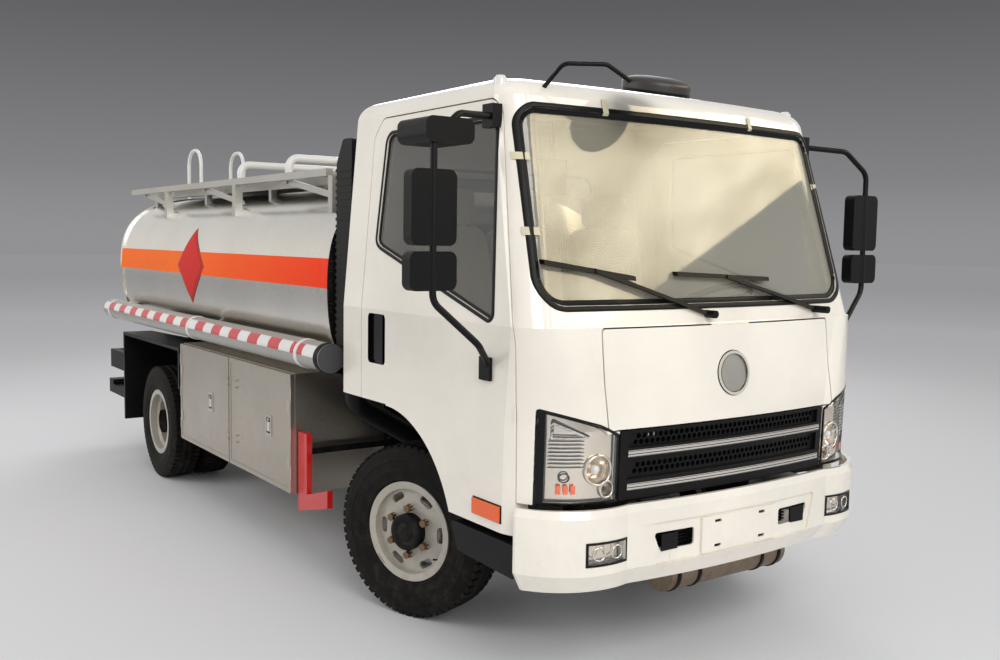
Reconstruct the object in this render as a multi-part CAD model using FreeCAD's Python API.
import FreeCAD, Part
import math
import os

from FreeCAD import Vector

# Tanker truck with a forward-control cab, in millimetres.
# The front faces -Y, the truck's right side is at -X, Z is up and the ground is at zero.
# Stations along Y are measured from the front axle, and save() shifts them to the middle of the length.

# Whole vehicle
overall_length = 5995.0
wheelbase = 3300.0
front_overhang = 1240.0
rear_end_y = overall_length - front_overhang
middle_y = overall_length / 2 - front_overhang

# Clearances: a seam round a panel that opens, the gap of a piece in its seat, and a cut's overrun
seam = 6.0
seat_gap = 0.3
lap = 1.0
overrun = 50.0
corner_reach_share = 0.49
sliver_share = 0.0005

# Wheels and tyres
tyre_radius = 398.0
tyre_half_width = 103.0
rim_flange_radius = 229.0
rim_half_width = 88.0
rim_seat_radius = 205.0
front_wheel_x = 797.0
rear_wheel_x = 904.0
twin_spacing = 240.0
steer_angle_deg = 20.95
kingpin_x = 739.0
axle_z = tyre_radius

# Frame rails
rail_outer_x = 375.0
rail_flange = 65.0
rail_height = 180.0
rail_wall = 7.0
rail_top_z = 715.0
rail_low_z = rail_top_z - rail_height
rail_front_y = -800.0
rail_rear_y = 4620.0

# Cab body
cab_half_width = 965.0
cab_back_y = 420.0
cab_wall = 40.0
cab_floor_z = 970.0
cab_belt_z = 1405.0
cab_gutter_z = 2285.0
cab_top_z = 2385.0
cab_sill_z = 615.0
cab_front_low_z = 745.0
arch_radius = 580.0
arch_top_z = 985.0
tilt_pivot_y = -930.0
tilt_pivot_z = 840.0

# Doors
door_front_y = -975.0
door_back_y = 240.0
door_top_z = 2275.0

# Front panel, grille and lamps
panel_half_width = 658.0
panel_low_z = 1020.0
panel_high_z = 1398.0
grille_half_width = 597.0

# Tank
tank_front_y = 660.0
tank_rear_y = 4450.0
tank_half_width = 935.0
tank_half_height = 575.0
tank_centre_z = 1470.0
tank_corner_power = 3.0
tank_head_depth = 60.0

# Walkway and folding guard rails
post_x = 790.0
post_half = 25.0
post_spacing = 1385.0
post_front_y = 880.0
post_top_z = 2050.0
guard_link_run = 690.0
guard_link_rise = 112.0
guard_pivot_z = 1938.0
guard_tube = 40.0
deck_half_width = 680.0
deck_z = 2066.0
deck_thickness = 22.0


def box(x0, x1, y0, y1, z0, z1):
    """Block between two corners, in any order."""
    low = Vector(min(x0, x1), min(y0, y1), min(z0, z1))
    return Part.makeBox(abs(x1 - x0), abs(y1 - y0), abs(z1 - z0), low)


def cylinder(centre, axis, radius, length):
    """Cylinder centred on a point."""
    direction = Vector(*axis).normalize()
    base = Vector(*centre) - direction * (length / 2)
    return Part.makeCylinder(radius, length, base, direction)


def rounded_wire(points, radius):
    """Closed wire through a polygon's corners, each corner an arc.

    points are 3-D vectors in one plane; radius is one value or one per corner.
    """
    count = len(points)
    radii = radius if isinstance(radius, (list, tuple)) else [radius] * count
    arcs = []
    ends = []
    for index in range(count):
        corner = points[index]
        before = points[index - 1] - corner
        after = points[(index + 1) % count] - corner
        half = before.getAngle(after) / 2
        reach = radii[index] / math.tan(half)
        reach = min(reach, before.Length * corner_reach_share, after.Length * corner_reach_share)
        start = corner + before.normalize() * reach
        stop = corner + after.normalize() * reach
        true_radius = reach * math.tan(half)
        if true_radius > seat_gap:
            towards = (before + after).normalize()
            middle = corner + towards * (true_radius / math.sin(half) - true_radius)
            arcs.append(Part.Arc(start, middle, stop).toShape())
        else:
            start = corner
            stop = corner
            arcs.append(None)
        ends.append((start, stop))
    edges = []
    for index in range(count):
        if arcs[index]:
            edges.append(arcs[index])
        first = ends[index][1]
        second = ends[(index + 1) % count][0]
        if (second - first).Length > seat_gap:
            edges.append(Part.LineSegment(first, second).toShape())
    return Part.Wire(edges)


def prism_x(outline, x0, x1, radius=0.0):
    """Outline of (y, z) points pushed from x0 to x1."""
    low, high = min(x0, x1), max(x0, x1)
    wire = rounded_wire([Vector(low, y, z) for y, z in outline], radius)
    return Part.Face(wire).extrude(Vector(high - low, 0, 0))


def prism_y(outline, y0, y1, radius=0.0):
    """Outline of (x, z) points pushed from y0 to y1."""
    low, high = min(y0, y1), max(y0, y1)
    wire = rounded_wire([Vector(x, low, z) for x, z in outline], radius)
    return Part.Face(wire).extrude(Vector(0, high - low, 0))


def rectangle(low_a, high_a, low_b, high_b):
    """Four corners of an upright rectangle, as two-number points."""
    return [(low_a, low_b), (high_a, low_b), (high_a, high_b), (low_a, high_b)]


def grown(outline, gap):
    """Polygon of two-number points moved outwards by a gap, or inwards where it is negative."""
    area = 0.0
    count = len(outline)
    for index in range(count):
        a = outline[index]
        b = outline[(index + 1) % count]
        area += a[0] * b[1] - b[0] * a[1]
    turn = 1.0 if area > 0 else -1.0
    lines = []
    for index in range(count):
        a = outline[index]
        b = outline[(index + 1) % count]
        dx, dy = b[0] - a[0], b[1] - a[1]
        size = math.hypot(dx, dy)
        nx, ny = turn * dy / size, -turn * dx / size
        lines.append((a[0] + nx * gap, a[1] + ny * gap, dx / size, dy / size))
    moved = []
    for index in range(count):
        px, py, ax, ay = lines[index - 1]
        qx, qy, bx, by = lines[index]
        cross = ax * by - ay * bx
        t = ((qx - px) * by - (qy - py) * bx) / cross
        moved.append((px + ax * t, py + ay * t))
    return moved


def bent_tube(points, radius, bend):
    """Round tube along straight runs joined by tangent arcs."""
    route = [Vector(*p) for p in points]
    edges = []
    start = route[0]
    for index in range(1, len(route) - 1):
        corner = route[index]
        before = route[index - 1] - corner
        after = route[index + 1] - corner
        half = before.getAngle(after) / 2
        reach = min(bend / math.tan(half), before.Length * corner_reach_share,
                    after.Length * corner_reach_share)
        turn = reach * math.tan(half)
        first = corner + before.normalize() * reach
        last = corner + after.normalize() * reach
        towards = (before + after).normalize()
        middle = corner + towards * (turn / math.sin(half) - turn)
        edges.append(Part.LineSegment(start, first).toShape())
        edges.append(Part.Arc(first, middle, last).toShape())
        start = last
    edges.append(Part.LineSegment(start, route[-1]).toShape())
    heading = (route[1] - route[0]).normalize()
    circle = Part.Wire(Part.makeCircle(radius, route[0], heading))
    return Part.Wire(edges).makePipeShell([circle], True, False)


def revolved(profile):
    """Ring from (along, radius) points turned about the X axis."""
    points = [Vector(along, 0, radius) for along, radius in profile]
    wire = Part.makePolygon(points + [points[0]])
    shape = Part.Face(wire).revolve(Vector(0, 0, 0), Vector(1, 0, 0), 360)
    if shape.Volume < 0:
        shape.reverse()
    return shape


def mirrored(shape):
    """Copy on the other side of the truck."""
    return shape.mirror(Vector(0, 0, 0), Vector(1, 0, 0))


def moved(shape, x, y, z):
    """Copy shifted by a distance."""
    copy = shape.copy()
    copy.translate(Vector(x, y, z))
    return copy


def fused(shapes):
    """One shape from several that touch or overlap."""
    first = shapes[0]
    return first.fuse(shapes[1:]).removeSplitter() if len(shapes) > 1 else first


def save(name, *shapes):
    """Write one node, shifted so that the origin is at the middle of the length."""
    solids = []
    for shape in shapes:
        solids.extend(shape.Solids)
    largest = max(solid.Volume for solid in solids)
    solids = [solid for solid in solids if solid.Volume > largest * sliver_share]
    node = solids[0] if len(solids) == 1 else Part.makeCompound(solids)
    node = node.copy()
    node.translate(Vector(0, -middle_y, 0))
    node.exportStep("parts/" + name + ".step")


# Cab skin: fronts of the body from the sill up, and the rounding of each section's corners

cab_front_sill_y = -1184.0
cab_front_lower_y = -1195.0
cab_front_belt_y = -1150.0
lower_corner_width = 360.0
lower_corner_run = 245.0
lower_bow = 32.0
belt_corner_width = 230.0
belt_corner_run = 150.0
belt_bow = 46.0
cab_foot_lap = 100.0
cab_foot_step = 12.0
screen_base_y = -1105.0
screen_top_y = -842.0
screen_corner_width = 120.0
screen_corner_run = 100.0
screen_bow = 55.0
gutter_half_width = 890.0
gutter_corner_width = 120.0
gutter_corner_run = 90.0
gutter_bow = 38.0
arc_middle_share = math.sqrt(0.5)

lower_corner = (lower_corner_width, lower_corner_run, lower_bow)
belt_corner = (belt_corner_width, belt_corner_run, belt_bow)
screen_corner = (screen_corner_width, screen_corner_run, screen_bow)
gutter_corner = (gutter_corner_width, gutter_corner_run, gutter_bow)


def cab_section(z, half_width, front_y, back_y, corner):
    """Plan outline of a bowed front with rounded corners, at one height."""
    corner_width, corner_run, bow = corner
    corner_y = front_y + bow
    side_y = corner_y + corner_run
    corner_x = half_width - corner_width
    mid_x = corner_x + corner_width * arc_middle_share
    mid_y = side_y - corner_run * arc_middle_share
    left_back = Vector(half_width, back_y, z)
    left_side = Vector(half_width, side_y, z)
    left_corner = Vector(corner_x, corner_y, z)
    right_back = Vector(-half_width, back_y, z)
    right_side = Vector(-half_width, side_y, z)
    right_corner = Vector(-corner_x, corner_y, z)
    edges = [
        Part.LineSegment(right_back, right_side).toShape(),
        Part.Arc(right_side, Vector(-mid_x, mid_y, z), right_corner).toShape(),
        Part.Arc(right_corner, Vector(0, front_y, z), left_corner).toShape(),
        Part.Arc(left_corner, Vector(mid_x, mid_y, z), left_side).toShape(),
        Part.LineSegment(left_side, left_back).toShape(),
        Part.LineSegment(left_back, right_back).toShape(),
    ]
    return Part.Wire(edges)


def cab_lower(inset):
    """Body below the belt line, as a solid moved in by an inset."""
    sections = (
        (cab_sill_z, cab_front_sill_y, lower_corner),
        (panel_low_z, cab_front_lower_y, lower_corner),
        (cab_belt_z - inset, cab_front_belt_y, belt_corner),
    )
    wires = []
    for z, front_y, corner in sections:
        wires.append(cab_section(z, cab_half_width - inset, front_y + inset, cab_back_y - inset, corner))
    return Part.makeLoft(wires, True, True)


def cab_upper(inset):
    """Body from just inside the belt line up to the gutter, as a solid moved in by an inset."""
    sections = (
        (cab_belt_z - cab_foot_lap, cab_half_width - cab_foot_step, screen_base_y, screen_corner),
        (cab_belt_z, cab_half_width, screen_base_y, screen_corner),
        (cab_gutter_z, gutter_half_width, screen_top_y, gutter_corner),
    )
    wires = []
    for z, half_width, front_y, corner in sections:
        wires.append(cab_section(z, half_width - inset, front_y + inset, cab_back_y - inset, corner))
    return Part.makeLoft(wires, True, True)


def cab_solid(inset):
    """Whole body under the roof, moved in by an inset."""
    return cab_lower(inset).fuse(cab_upper(inset))


def cab_skin(outside, inside):
    """Layer of the cab's walls between two depths below the surface."""
    return cab_solid(outside).cut(cab_solid(inside))


roof_rise_shares = (0.0, 0.42, 0.78, 1.0)
roof_side_shares = (0.0, 0.086, 0.371, 1.0)
roof_front_shares = (0.0, 0.1, 0.393, 1.0)
roof_back_shares = (0.0, 0.074, 0.316, 1.0)
roof_side_step = 210.0
roof_front_step = 280.0
roof_back_step = 190.0
roof_wall = 30.0


def cab_roof_body(inset, drop):
    """Domed roof above the gutter."""
    height = cab_top_z - cab_gutter_z
    wires = []
    for rise, side, front, back in zip(roof_rise_shares, roof_side_shares, roof_front_shares, roof_back_shares):
        wires.append(cab_section(cab_gutter_z + height * rise - drop,
                                 gutter_half_width - inset - roof_side_step * side,
                                 screen_top_y + inset + roof_front_step * front,
                                 cab_back_y - inset - roof_back_step * back, gutter_corner))
    return Part.makeLoft(wires, True, False)


# Outlines of the doors and windows, as stations and heights

door_pillar_foot_z = 1360.0
door_pillar_top_y = -770.0
door_pillar_top_z = 2215.0
door_top_front_y = -722.0
door_top_rear_y = 165.0
door_back_top_z = 2190.0
door_pillar_radius = 400.0
door_corner_radius = 60.0
window_front_y = -826.0
window_low_z = 1418.0
window_top_front_y = -745.0
window_top_z = 2193.0
window_top_rear_y = 108.0
window_rear_y = 136.0
window_rear_low_z = 1712.0
window_sill_rear_y = 96.0
window_sill_rear_z = 1690.0
window_radius = 45.0
window_front_radius = 22.0
screen_low_half = 884.0
screen_low_z = 1484.0
screen_high_half = 846.0
screen_high_z = 2238.0
screen_low_radius = 110.0
screen_high_radius = 85.0
screen_back_y = -150.0
rear_window_half = 560.0
rear_window_low_z = 1560.0
rear_window_high_z = 2080.0
rear_window_radius = 70.0
panel_radius = 18.0
grille_radius = 8.0
lamp_inner_x = grille_half_width + seam
lamp_inner_top_z = panel_low_z - 2 * seam
lamp_notch_x = 664.0
lamp_shoulder_x = 690.0
lamp_shoulder_z = 1046.0
lamp_outer_x = 910.0
lamp_outer_top_z = 1112.0
lamp_radius = 10.0
glass_depth = 12.0
glass_thickness = 6.0
cover_depth = 30.0
lamp_back_y = -1020.0
lamp_cover_depth = 4.0
lamp_cover_wall = 6.0
lamp_housing_depth = 14.0
lamp_face_y = -1130.0
lamp_bowls = ((690.0, 872.0, 52.0), (650.0, 796.0, 27.0))
bowl_depth = 40.0
bowl_floor_share = 0.55
bulb_share = 0.5
bulb_tip_share = 0.3

door_outline = [
    (door_front_y, cab_sill_z - overrun), (door_front_y, door_pillar_foot_z),
    (door_pillar_top_y, door_pillar_top_z), (door_top_front_y, door_top_z), (door_top_rear_y, door_top_z),
    (door_back_y, door_back_top_z), (door_back_y, cab_sill_z - overrun),
]
door_radii = [0.0, door_pillar_radius, door_corner_radius, door_corner_radius, door_corner_radius,
              door_corner_radius, 0.0]
window_outline = [
    (window_front_y, window_low_z), (window_top_front_y, window_top_z), (window_top_rear_y, window_top_z),
    (window_rear_y, window_rear_low_z), (window_sill_rear_y, window_sill_rear_z),
]
window_radii = [window_front_radius, window_radius, window_radius, window_radius, window_radius]
screen_outline = [
    (-screen_low_half, screen_low_z), (screen_low_half, screen_low_z),
    (screen_high_half, screen_high_z), (-screen_high_half, screen_high_z),
]
screen_radii = [screen_low_radius, screen_low_radius, screen_high_radius, screen_high_radius]
lamp_outline = [
    (lamp_inner_x, cab_front_low_z - overrun), (lamp_outer_x, cab_front_low_z - overrun),
    (lamp_outer_x, lamp_outer_top_z), (lamp_shoulder_x, lamp_shoulder_z), (lamp_notch_x, lamp_inner_top_z),
    (lamp_inner_x, lamp_inner_top_z),
]


def arch_void():
    """Space over the front wheels, open to the rear."""
    round_part = cylinder((0, 0, axle_z), (1, 0, 0), arch_radius, 4 * cab_half_width)
    straight = box(-2 * cab_half_width, 2 * cab_half_width, 0, cab_back_y + overrun, 0, arch_top_z)
    return round_part.fuse(straight)


def low_front_void():
    """Space under the front of the body, ahead of the doors."""
    return box(-2 * cab_half_width, 2 * cab_half_width, cab_front_lower_y - overrun, door_front_y,
               0, cab_front_low_z)


def door_prism(side, gap):
    """The door's outline pushed through one wall of the cab."""
    return prism_x(grown(door_outline, gap), side * cab_half_width / 2, side * (cab_half_width + overrun),
                   door_radii)


def window_prism(side, gap):
    """The side window's outline pushed through one wall of the cab."""
    return prism_x(grown(window_outline, gap), side * cab_half_width / 2, side * (cab_half_width + overrun),
                   window_radii)


def screen_prism(gap):
    """The windscreen's outline pushed through the front."""
    return prism_y(grown(screen_outline, gap), screen_base_y - overrun, screen_back_y, screen_radii)


def rear_window_prism(gap):
    """The rear window's outline pushed through the back wall."""
    outline = rectangle(-rear_window_half, rear_window_half, rear_window_low_z, rear_window_high_z)
    return prism_y(grown(outline, gap), cab_back_y - cab_wall - overrun, cab_back_y + overrun, rear_window_radius)


def panel_prism(gap):
    """The front service panel's outline pushed through the front."""
    outline = rectangle(-panel_half_width, panel_half_width, panel_low_z, panel_high_z)
    return prism_y(grown(outline, gap), cab_front_lower_y - overrun, -cab_half_width, panel_radius)


def grille_prism(gap):
    """The grille's outline pushed through the front."""
    outline = rectangle(-grille_half_width, grille_half_width, cab_front_low_z, panel_low_z - seam)
    return prism_y(grown(outline, gap), cab_front_lower_y - overrun, -cab_half_width, grille_radius)


def lamp_prism(side, gap):
    """A headlamp's outline pushed through the front corner."""
    outline = [(side * x, z) for x, z in grown(lamp_outline, gap)]
    return prism_y(outline, cab_front_lower_y - overrun, lamp_back_y + gap, lamp_radius)


carrier_low_z = 975.0
carrier_high_z = 1006.0
carrier_depth = 35.0
carrier_stay_x = 420.0
carrier_stay_half = 20.0
door_hinge_x = 953.0
door_hinge_radius = (seam - seat_gap + lap) / 2
door_hinge_length = 60.0
door_hinge_heights = (880.0, 1080.0)
door_swing_radius = 80.0
panel_hinge_half = 110.0
emblem_z = 1202.0
emblem_radius = 90.0
emblem_ring_width = 13.0
emblem_proud = 7.0
marker_x = 845.0
marker_y = -690.0
marker_foot_z = 2312.0
marker_top_z = 2352.0
marker_radius = 27.0
marker_top_radius = 15.0
marker_dome = 14.0
handle_front_y = 10.0
handle_back_y = 172.0
handle_low_z = 1158.0
handle_high_z = 1386.0
handle_radius = 22.0
handle_recess = 16.0
handle_grip_width = 34.0
handle_grip_inset = 26.0


def front_carrier():
    """Bar behind the headlamps, with two stays that reach the grille."""
    reach = box(-cab_half_width, cab_half_width, lamp_back_y, lamp_back_y + carrier_depth,
                carrier_low_z, carrier_high_z)
    stays = [box(side * (carrier_stay_x - carrier_stay_half), side * (carrier_stay_x + carrier_stay_half),
                 cab_front_lower_y, lamp_back_y + carrier_depth, carrier_low_z, carrier_high_z)
             for side in (-1, 1)]
    inside = cab_lower(cover_depth + seat_gap)
    return [reach.common(cab_lower(glass_depth))] + [stay.common(inside) for stay in stays]


def door_handle(side):
    """Recess in the door's skin and the upright grip in it."""
    outline = rectangle(handle_front_y, handle_back_y, handle_low_z, handle_high_z)
    recess = prism_x(outline, side * (cab_half_width - handle_recess), side * (cab_half_width + overrun),
                     handle_radius)
    grip = prism_x(rectangle(handle_front_y + handle_grip_inset, handle_front_y + handle_grip_inset
                             + handle_grip_width, handle_low_z, handle_high_z),
                   side * (cab_half_width - handle_recess - lap), side * (cab_half_width - lap), lap)
    return recess, grip


def build_headlamp(side, low_front):
    """Lamp housing with its bowls and ribs, and the clear cover in front of it."""
    blank = cab_lower(0).common(lamp_prism(side, -seat_gap)).cut(low_front)
    inner = cab_lower(lamp_cover_depth).common(lamp_prism(side, -lamp_cover_wall)).cut(
        box(-cab_half_width, cab_half_width, cab_front_lower_y, 0, 0, cab_front_low_z + lamp_cover_wall))
    cover = blank.cut(cab_lower(lamp_cover_depth + lamp_housing_depth))
    cover = cover.cut(inner.fuse(inner.common(cab_lower(lamp_cover_depth))))
    housing_space = cab_lower(lamp_cover_depth + lamp_housing_depth + seat_gap)
    housing = blank.common(housing_space)
    cuts = []
    adds = []
    for x, z, radius in lamp_bowls:
        bowl = Part.makeCone(radius, radius * bowl_floor_share, bowl_depth,
                             Vector(side * x, lamp_face_y, z), Vector(0, 1, 0))
        cuts.append(bowl.fuse(Part.makeCylinder(radius, overrun, Vector(side * x, lamp_face_y - overrun, z),
                                                Vector(0, 1, 0))))
        adds.append(Part.makeCone(radius * bulb_share, radius * bulb_tip_share, bowl_depth,
                                  Vector(side * x, lamp_face_y + bowl_depth, z), Vector(0, -1, 0)))
    return [cover, fused([housing.cut(cuts)] + adds)]


def build_cab():
    """The tilting cab: shell, roof, front panel, grille, lamps, glass and both doors."""
    skin = cab_skin(0, cab_wall)
    arch = arch_void()
    low_front = low_front_void()
    shell = skin.cut([door_prism(-1, 0), door_prism(1, 0), screen_prism(0), rear_window_prism(0),
                      panel_prism(seam), grille_prism(seam), lamp_prism(-1, 0), lamp_prism(1, 0),
                      arch, low_front])
    save("cab_shell", fused([shell] + front_carrier()))
    markers = []
    for side in (-1, 1):
        markers.append(Part.makeCylinder(marker_radius, marker_top_z - marker_foot_z,
                                         Vector(side * marker_x, marker_y, marker_foot_z)))
        markers.append(Part.makeCone(marker_radius, marker_top_radius, marker_dome,
                                     Vector(side * marker_x, marker_y, marker_top_z)))
    roof = fused([cab_roof_body(0, 0)] + markers)
    save("cab_roof", roof.cut(cab_roof_body(cab_wall, roof_wall)))

    glass = cab_skin(glass_depth, glass_depth + glass_thickness)
    for side, name in ((-1, "right"), (1, "left")):
        recess, grip = door_handle(side)
        door = skin.common(door_prism(side, -seam)).cut([window_prism(side, 0), arch, recess])
        hinge_y = door_front_y + seat_gap + door_hinge_radius
        barrels = [cylinder((side * door_hinge_x, hinge_y, z), (0, 0, 1), door_hinge_radius, door_hinge_length)
                   for z in door_hinge_heights]
        save("door_" + name, fused([door, grip] + barrels))
        save("door_glass_" + name, glass.common(window_prism(side, -seat_gap)))

    cover = cab_skin(0, cover_depth)
    panel_hinge_y = cab_front_belt_y + door_hinge_radius
    pin = cylinder((0, panel_hinge_y, panel_high_z + seam - seat_gap - door_hinge_radius), (1, 0, 0),
                   door_hinge_radius, 2 * panel_hinge_half)
    disc = cylinder((0, cab_front_lower_y, emblem_z), (0, 1, 0), emblem_radius, 4 * overrun)
    hole = cylinder((0, cab_front_lower_y, emblem_z), (0, 1, 0), emblem_radius - emblem_ring_width, 4 * overrun)
    emblem = disc.cut(hole).common(cab_lower(-emblem_proud).cut(cab_lower(cover_depth / 2)))
    save("front_panel", fused([cover.common(panel_prism(0)), pin, emblem]))
    save("cab_glass", glass.common(screen_prism(-seat_gap)), glass.common(rear_window_prism(-seat_gap)))
    save("headlamps", *[solid for side in (-1, 1) for solid in build_headlamp(side, low_front)])
    save("grille", build_grille(cover.common(grille_prism(0))))


grille_band_half_width = 560.0
grille_bands = ((946.0, 1004.0), (824.0, 900.0))
grille_sunk = 15.0
grille_bar_heights = (925.0, 796.0)
grille_bar_half_width = 566.0
grille_bar_half_height = 13.0
grille_bar_proud = 9.0
cell_pitch = 27.0
cell_radius = 12.0
cell_margin = 4.0


def honeycomb(low_z, high_z):
    """Plate with rows of six-sided holes that fills one band of the grille."""
    row_rise = cell_pitch * math.sqrt(0.75)
    row_count = int((high_z - low_z - 2 * cell_margin - 2 * cell_radius) / row_rise) + 1
    first_z = (low_z + high_z) / 2 - (row_count - 1) * row_rise / 2
    column_count = int((grille_band_half_width - cell_pitch) / cell_pitch)
    front_y = cab_front_lower_y - overrun
    corners = [(-grille_band_half_width - lap, low_z - lap), (grille_band_half_width + lap, low_z - lap),
               (grille_band_half_width + lap, high_z + lap), (-grille_band_half_width - lap, high_z + lap)]
    wires = [Part.makePolygon([Vector(x, front_y, z) for x, z in corners + corners[:1]])]
    for row in range(row_count):
        shift = cell_pitch / 2 if row % 2 else 0
        z = first_z + row * row_rise
        for column in range(-column_count, column_count + 1):
            x = column * cell_pitch + shift
            wires.append(Part.makePolygon([
                Vector(x + cell_radius * math.sin(math.pi * turn / 3), front_y,
                       z + cell_radius * math.cos(math.pi * turn / 3)) for turn in range(7)]))
    return Part.Face(wires, "Part::FaceMakerCheese").extrude(Vector(0, lamp_back_y - front_y, 0))


def build_grille(blank):
    """Grille panel with two sunk honeycomb bands and two bright bars."""
    front_y = cab_front_lower_y - overrun
    bands = [box(-grille_band_half_width, grille_band_half_width, front_y, -cab_half_width, low, high)
             for low, high in grille_bands]
    floor = cab_lower(grille_sunk).cut(cab_lower(cover_depth))
    meshes = [floor.common(honeycomb(low, high)) for low, high in grille_bands]
    raised = cab_lower(-grille_bar_proud).cut(cab_lower(grille_sunk))
    bars = [box(-grille_bar_half_width, grille_bar_half_width, front_y, -cab_half_width,
                z - grille_bar_half_height, z + grille_bar_half_height).common(raised) for z in grille_bar_heights]
    return fused([blank.cut(bands)] + bars + meshes)


# Cab floor, seats and controls

floor_thickness = 40.0
floor_front_y = -980.0
firewall_half_width = 880.0
firewall_wall = 14.0
firewall_top_z = 1140.0
step_well_inner_x = 700.0
step_well_z = 655.0
step_well_wall = 12.0
step_well_front_y = -950.0
step_well_back_y = -560.0
tilt_lug_thickness = 20.0
tilt_lug_radius = 36.0
tilt_pin_radius = 14.0
ear_thickness = 14.0
dash_half_width = 880.0
dash_front_y = -1035.0
dash_low_z = 1180.0
dash_knee_y = -860.0
dash_knee_z = 1150.0
dash_edge_y = -760.0
dash_edge_z = 1330.0
dash_brow_y = -830.0
dash_brow_z = 1425.0
dash_top_z = 1440.0
dash_radius = 25.0
steering_x = 440.0
steering_y = -610.0
steering_z = 1440.0
steering_tilt_deg = 28.0
steering_ring_radius = 205.0
steering_ring_wire = 15.0
steering_spoke_radius = 11.0
steering_spoke_count = 3
steering_hub_radius = 55.0
steering_hub_height = 45.0
column_radius = 28.0
shroud_half = 60.0
driver_seat_x = 450.0
driver_seat_half = 245.0
bench_x = -300.0
bench_half = 440.0
seat_front_y = -420.0
seat_back_y = 120.0
seat_top_z = 1290.0
seat_lift = 20.0
seat_radius = 30.0
backrest_foot_front_y = 20.0
backrest_foot_back_y = 170.0
backrest_top_back_y = 290.0
backrest_top_front_y = 170.0
backrest_top_z = 1970.0
backrest_lap = 20.0
backrest_radius = 45.0


def build_cab_floor():
    """Floor with its firewall, step wells and the two lugs that it tilts on."""
    inner = cab_half_width
    floor_top = cab_floor_z + floor_thickness
    plate = box(-inner, inner, floor_front_y, cab_back_y, cab_floor_z, floor_top)
    firewall = box(-firewall_half_width, firewall_half_width, floor_front_y, floor_front_y + firewall_wall,
                   cab_floor_z, firewall_top_z)
    shapes = [plate, firewall]
    wells = []
    bores = []
    for side in (-1, 1):
        inner_x = side * step_well_inner_x
        wells.append(box(inner_x + side * step_well_wall, side * (inner + overrun),
                         step_well_front_y + step_well_wall, step_well_back_y - step_well_wall,
                         step_well_z + step_well_wall, floor_top + overrun))
        shapes.append(box(inner_x, side * inner, step_well_front_y, step_well_back_y, step_well_z, floor_top))
        lug_x = rail_outer_x - ear_thickness - seat_gap - tilt_lug_thickness / 2
        shapes.append(cylinder((side * lug_x, tilt_pivot_y, tilt_pivot_z), (1, 0, 0), tilt_lug_radius,
                               tilt_lug_thickness))
        shapes.append(box(side * (lug_x - tilt_lug_thickness / 2), side * (lug_x + tilt_lug_thickness / 2),
                          tilt_pivot_y - tilt_lug_radius, tilt_pivot_y + tilt_lug_radius,
                          tilt_pivot_z, cab_floor_z + lap))
        bores.append(cylinder((side * lug_x, tilt_pivot_y, tilt_pivot_z), (1, 0, 0), tilt_pin_radius + seat_gap,
                              tilt_lug_thickness + overrun))
    hinge_y = door_front_y + seat_gap + door_hinge_radius
    swings = [cylinder((side * door_hinge_x, hinge_y, cab_floor_z), (0, 0, 1), door_swing_radius,
                       2 * (cab_floor_z - cab_sill_z)) for side in (-1, 1)]
    floor = fused(shapes).cut(wells + bores + swings)
    save("cab_floor", floor.common(cab_solid(cab_wall + seat_gap)))


def build_dashboard():
    """Dashboard with the steering column, which stands on the floor."""
    tilt = math.radians(steering_tilt_deg)
    along = Vector(0, math.sin(tilt), math.cos(tilt))
    outline = [(dash_front_y, dash_low_z), (dash_knee_y, dash_knee_z), (dash_edge_y, dash_edge_z),
               (dash_brow_y, dash_brow_z), (dash_front_y, dash_top_z)]
    dash = prism_x(outline, -dash_half_width, dash_half_width, dash_radius)
    top = Vector(steering_x, steering_y, steering_z) - along * (steering_hub_height + seat_gap)
    foot_z = cab_floor_z + floor_thickness
    length = (top.z - foot_z + overrun) / along.z
    column = Part.makeCylinder(column_radius, length, top, along * -1)
    column = column.cut(box(0, cab_half_width, floor_front_y - overrun, 0, 0, foot_z + seat_gap))
    shroud = prism_x([(dash_knee_y, dash_knee_z), (dash_edge_y + column_radius, dash_knee_z),
                      (dash_edge_y + 2 * shroud_half, dash_edge_z), (dash_brow_y, dash_edge_z)],
                     steering_x - shroud_half, steering_x + shroud_half)
    dash = fused([dash, shroud, column])
    save("dashboard", dash.common(cab_solid(cab_wall + seat_gap)))


def build_seats():
    """Driver's seat and the double seat beside it."""
    floor_top = cab_floor_z + floor_thickness + seat_gap
    seats = []
    for centre_x, half_width in ((driver_seat_x, driver_seat_half), (bench_x, bench_half)):
        base = prism_x([(seat_front_y, floor_top), (seat_back_y, floor_top), (seat_back_y, seat_top_z),
                        (seat_front_y, seat_top_z + seat_lift)],
                       centre_x - half_width, centre_x + half_width, seat_radius)
        rest = prism_x([(backrest_foot_front_y, seat_top_z - backrest_lap),
                        (backrest_foot_back_y, seat_top_z - backrest_lap),
                        (backrest_top_back_y, backrest_top_z), (backrest_top_front_y, backrest_top_z)],
                       centre_x - half_width, centre_x + half_width, backrest_radius)
        seats.append(base.fuse(rest))
    save("seats", *seats)


def build_steering_wheel():
    """Steering wheel with its spokes and hub, square to the column."""
    wheel = Part.makeTorus(steering_ring_radius, steering_ring_wire)
    for turn in range(steering_spoke_count):
        spoke = cylinder((steering_ring_radius / 2, 0, 0), (1, 0, 0), steering_spoke_radius,
                         steering_ring_radius)
        spoke.rotate(Vector(0, 0, 0), Vector(0, 0, 1), 90 + 360 * turn / steering_spoke_count)
        wheel = wheel.fuse(spoke)
    wheel = wheel.fuse(Part.makeCylinder(steering_hub_radius, steering_hub_height,
                                         Vector(0, 0, -steering_hub_height)))
    wheel.rotate(Vector(0, 0, 0), Vector(1, 0, 0), -steering_tilt_deg)
    save("steering_wheel", moved(wheel, steering_x, steering_y, steering_z))


# Wheels: half section of a rim, its dished disc, the tyre, and the hub that carries them

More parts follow.
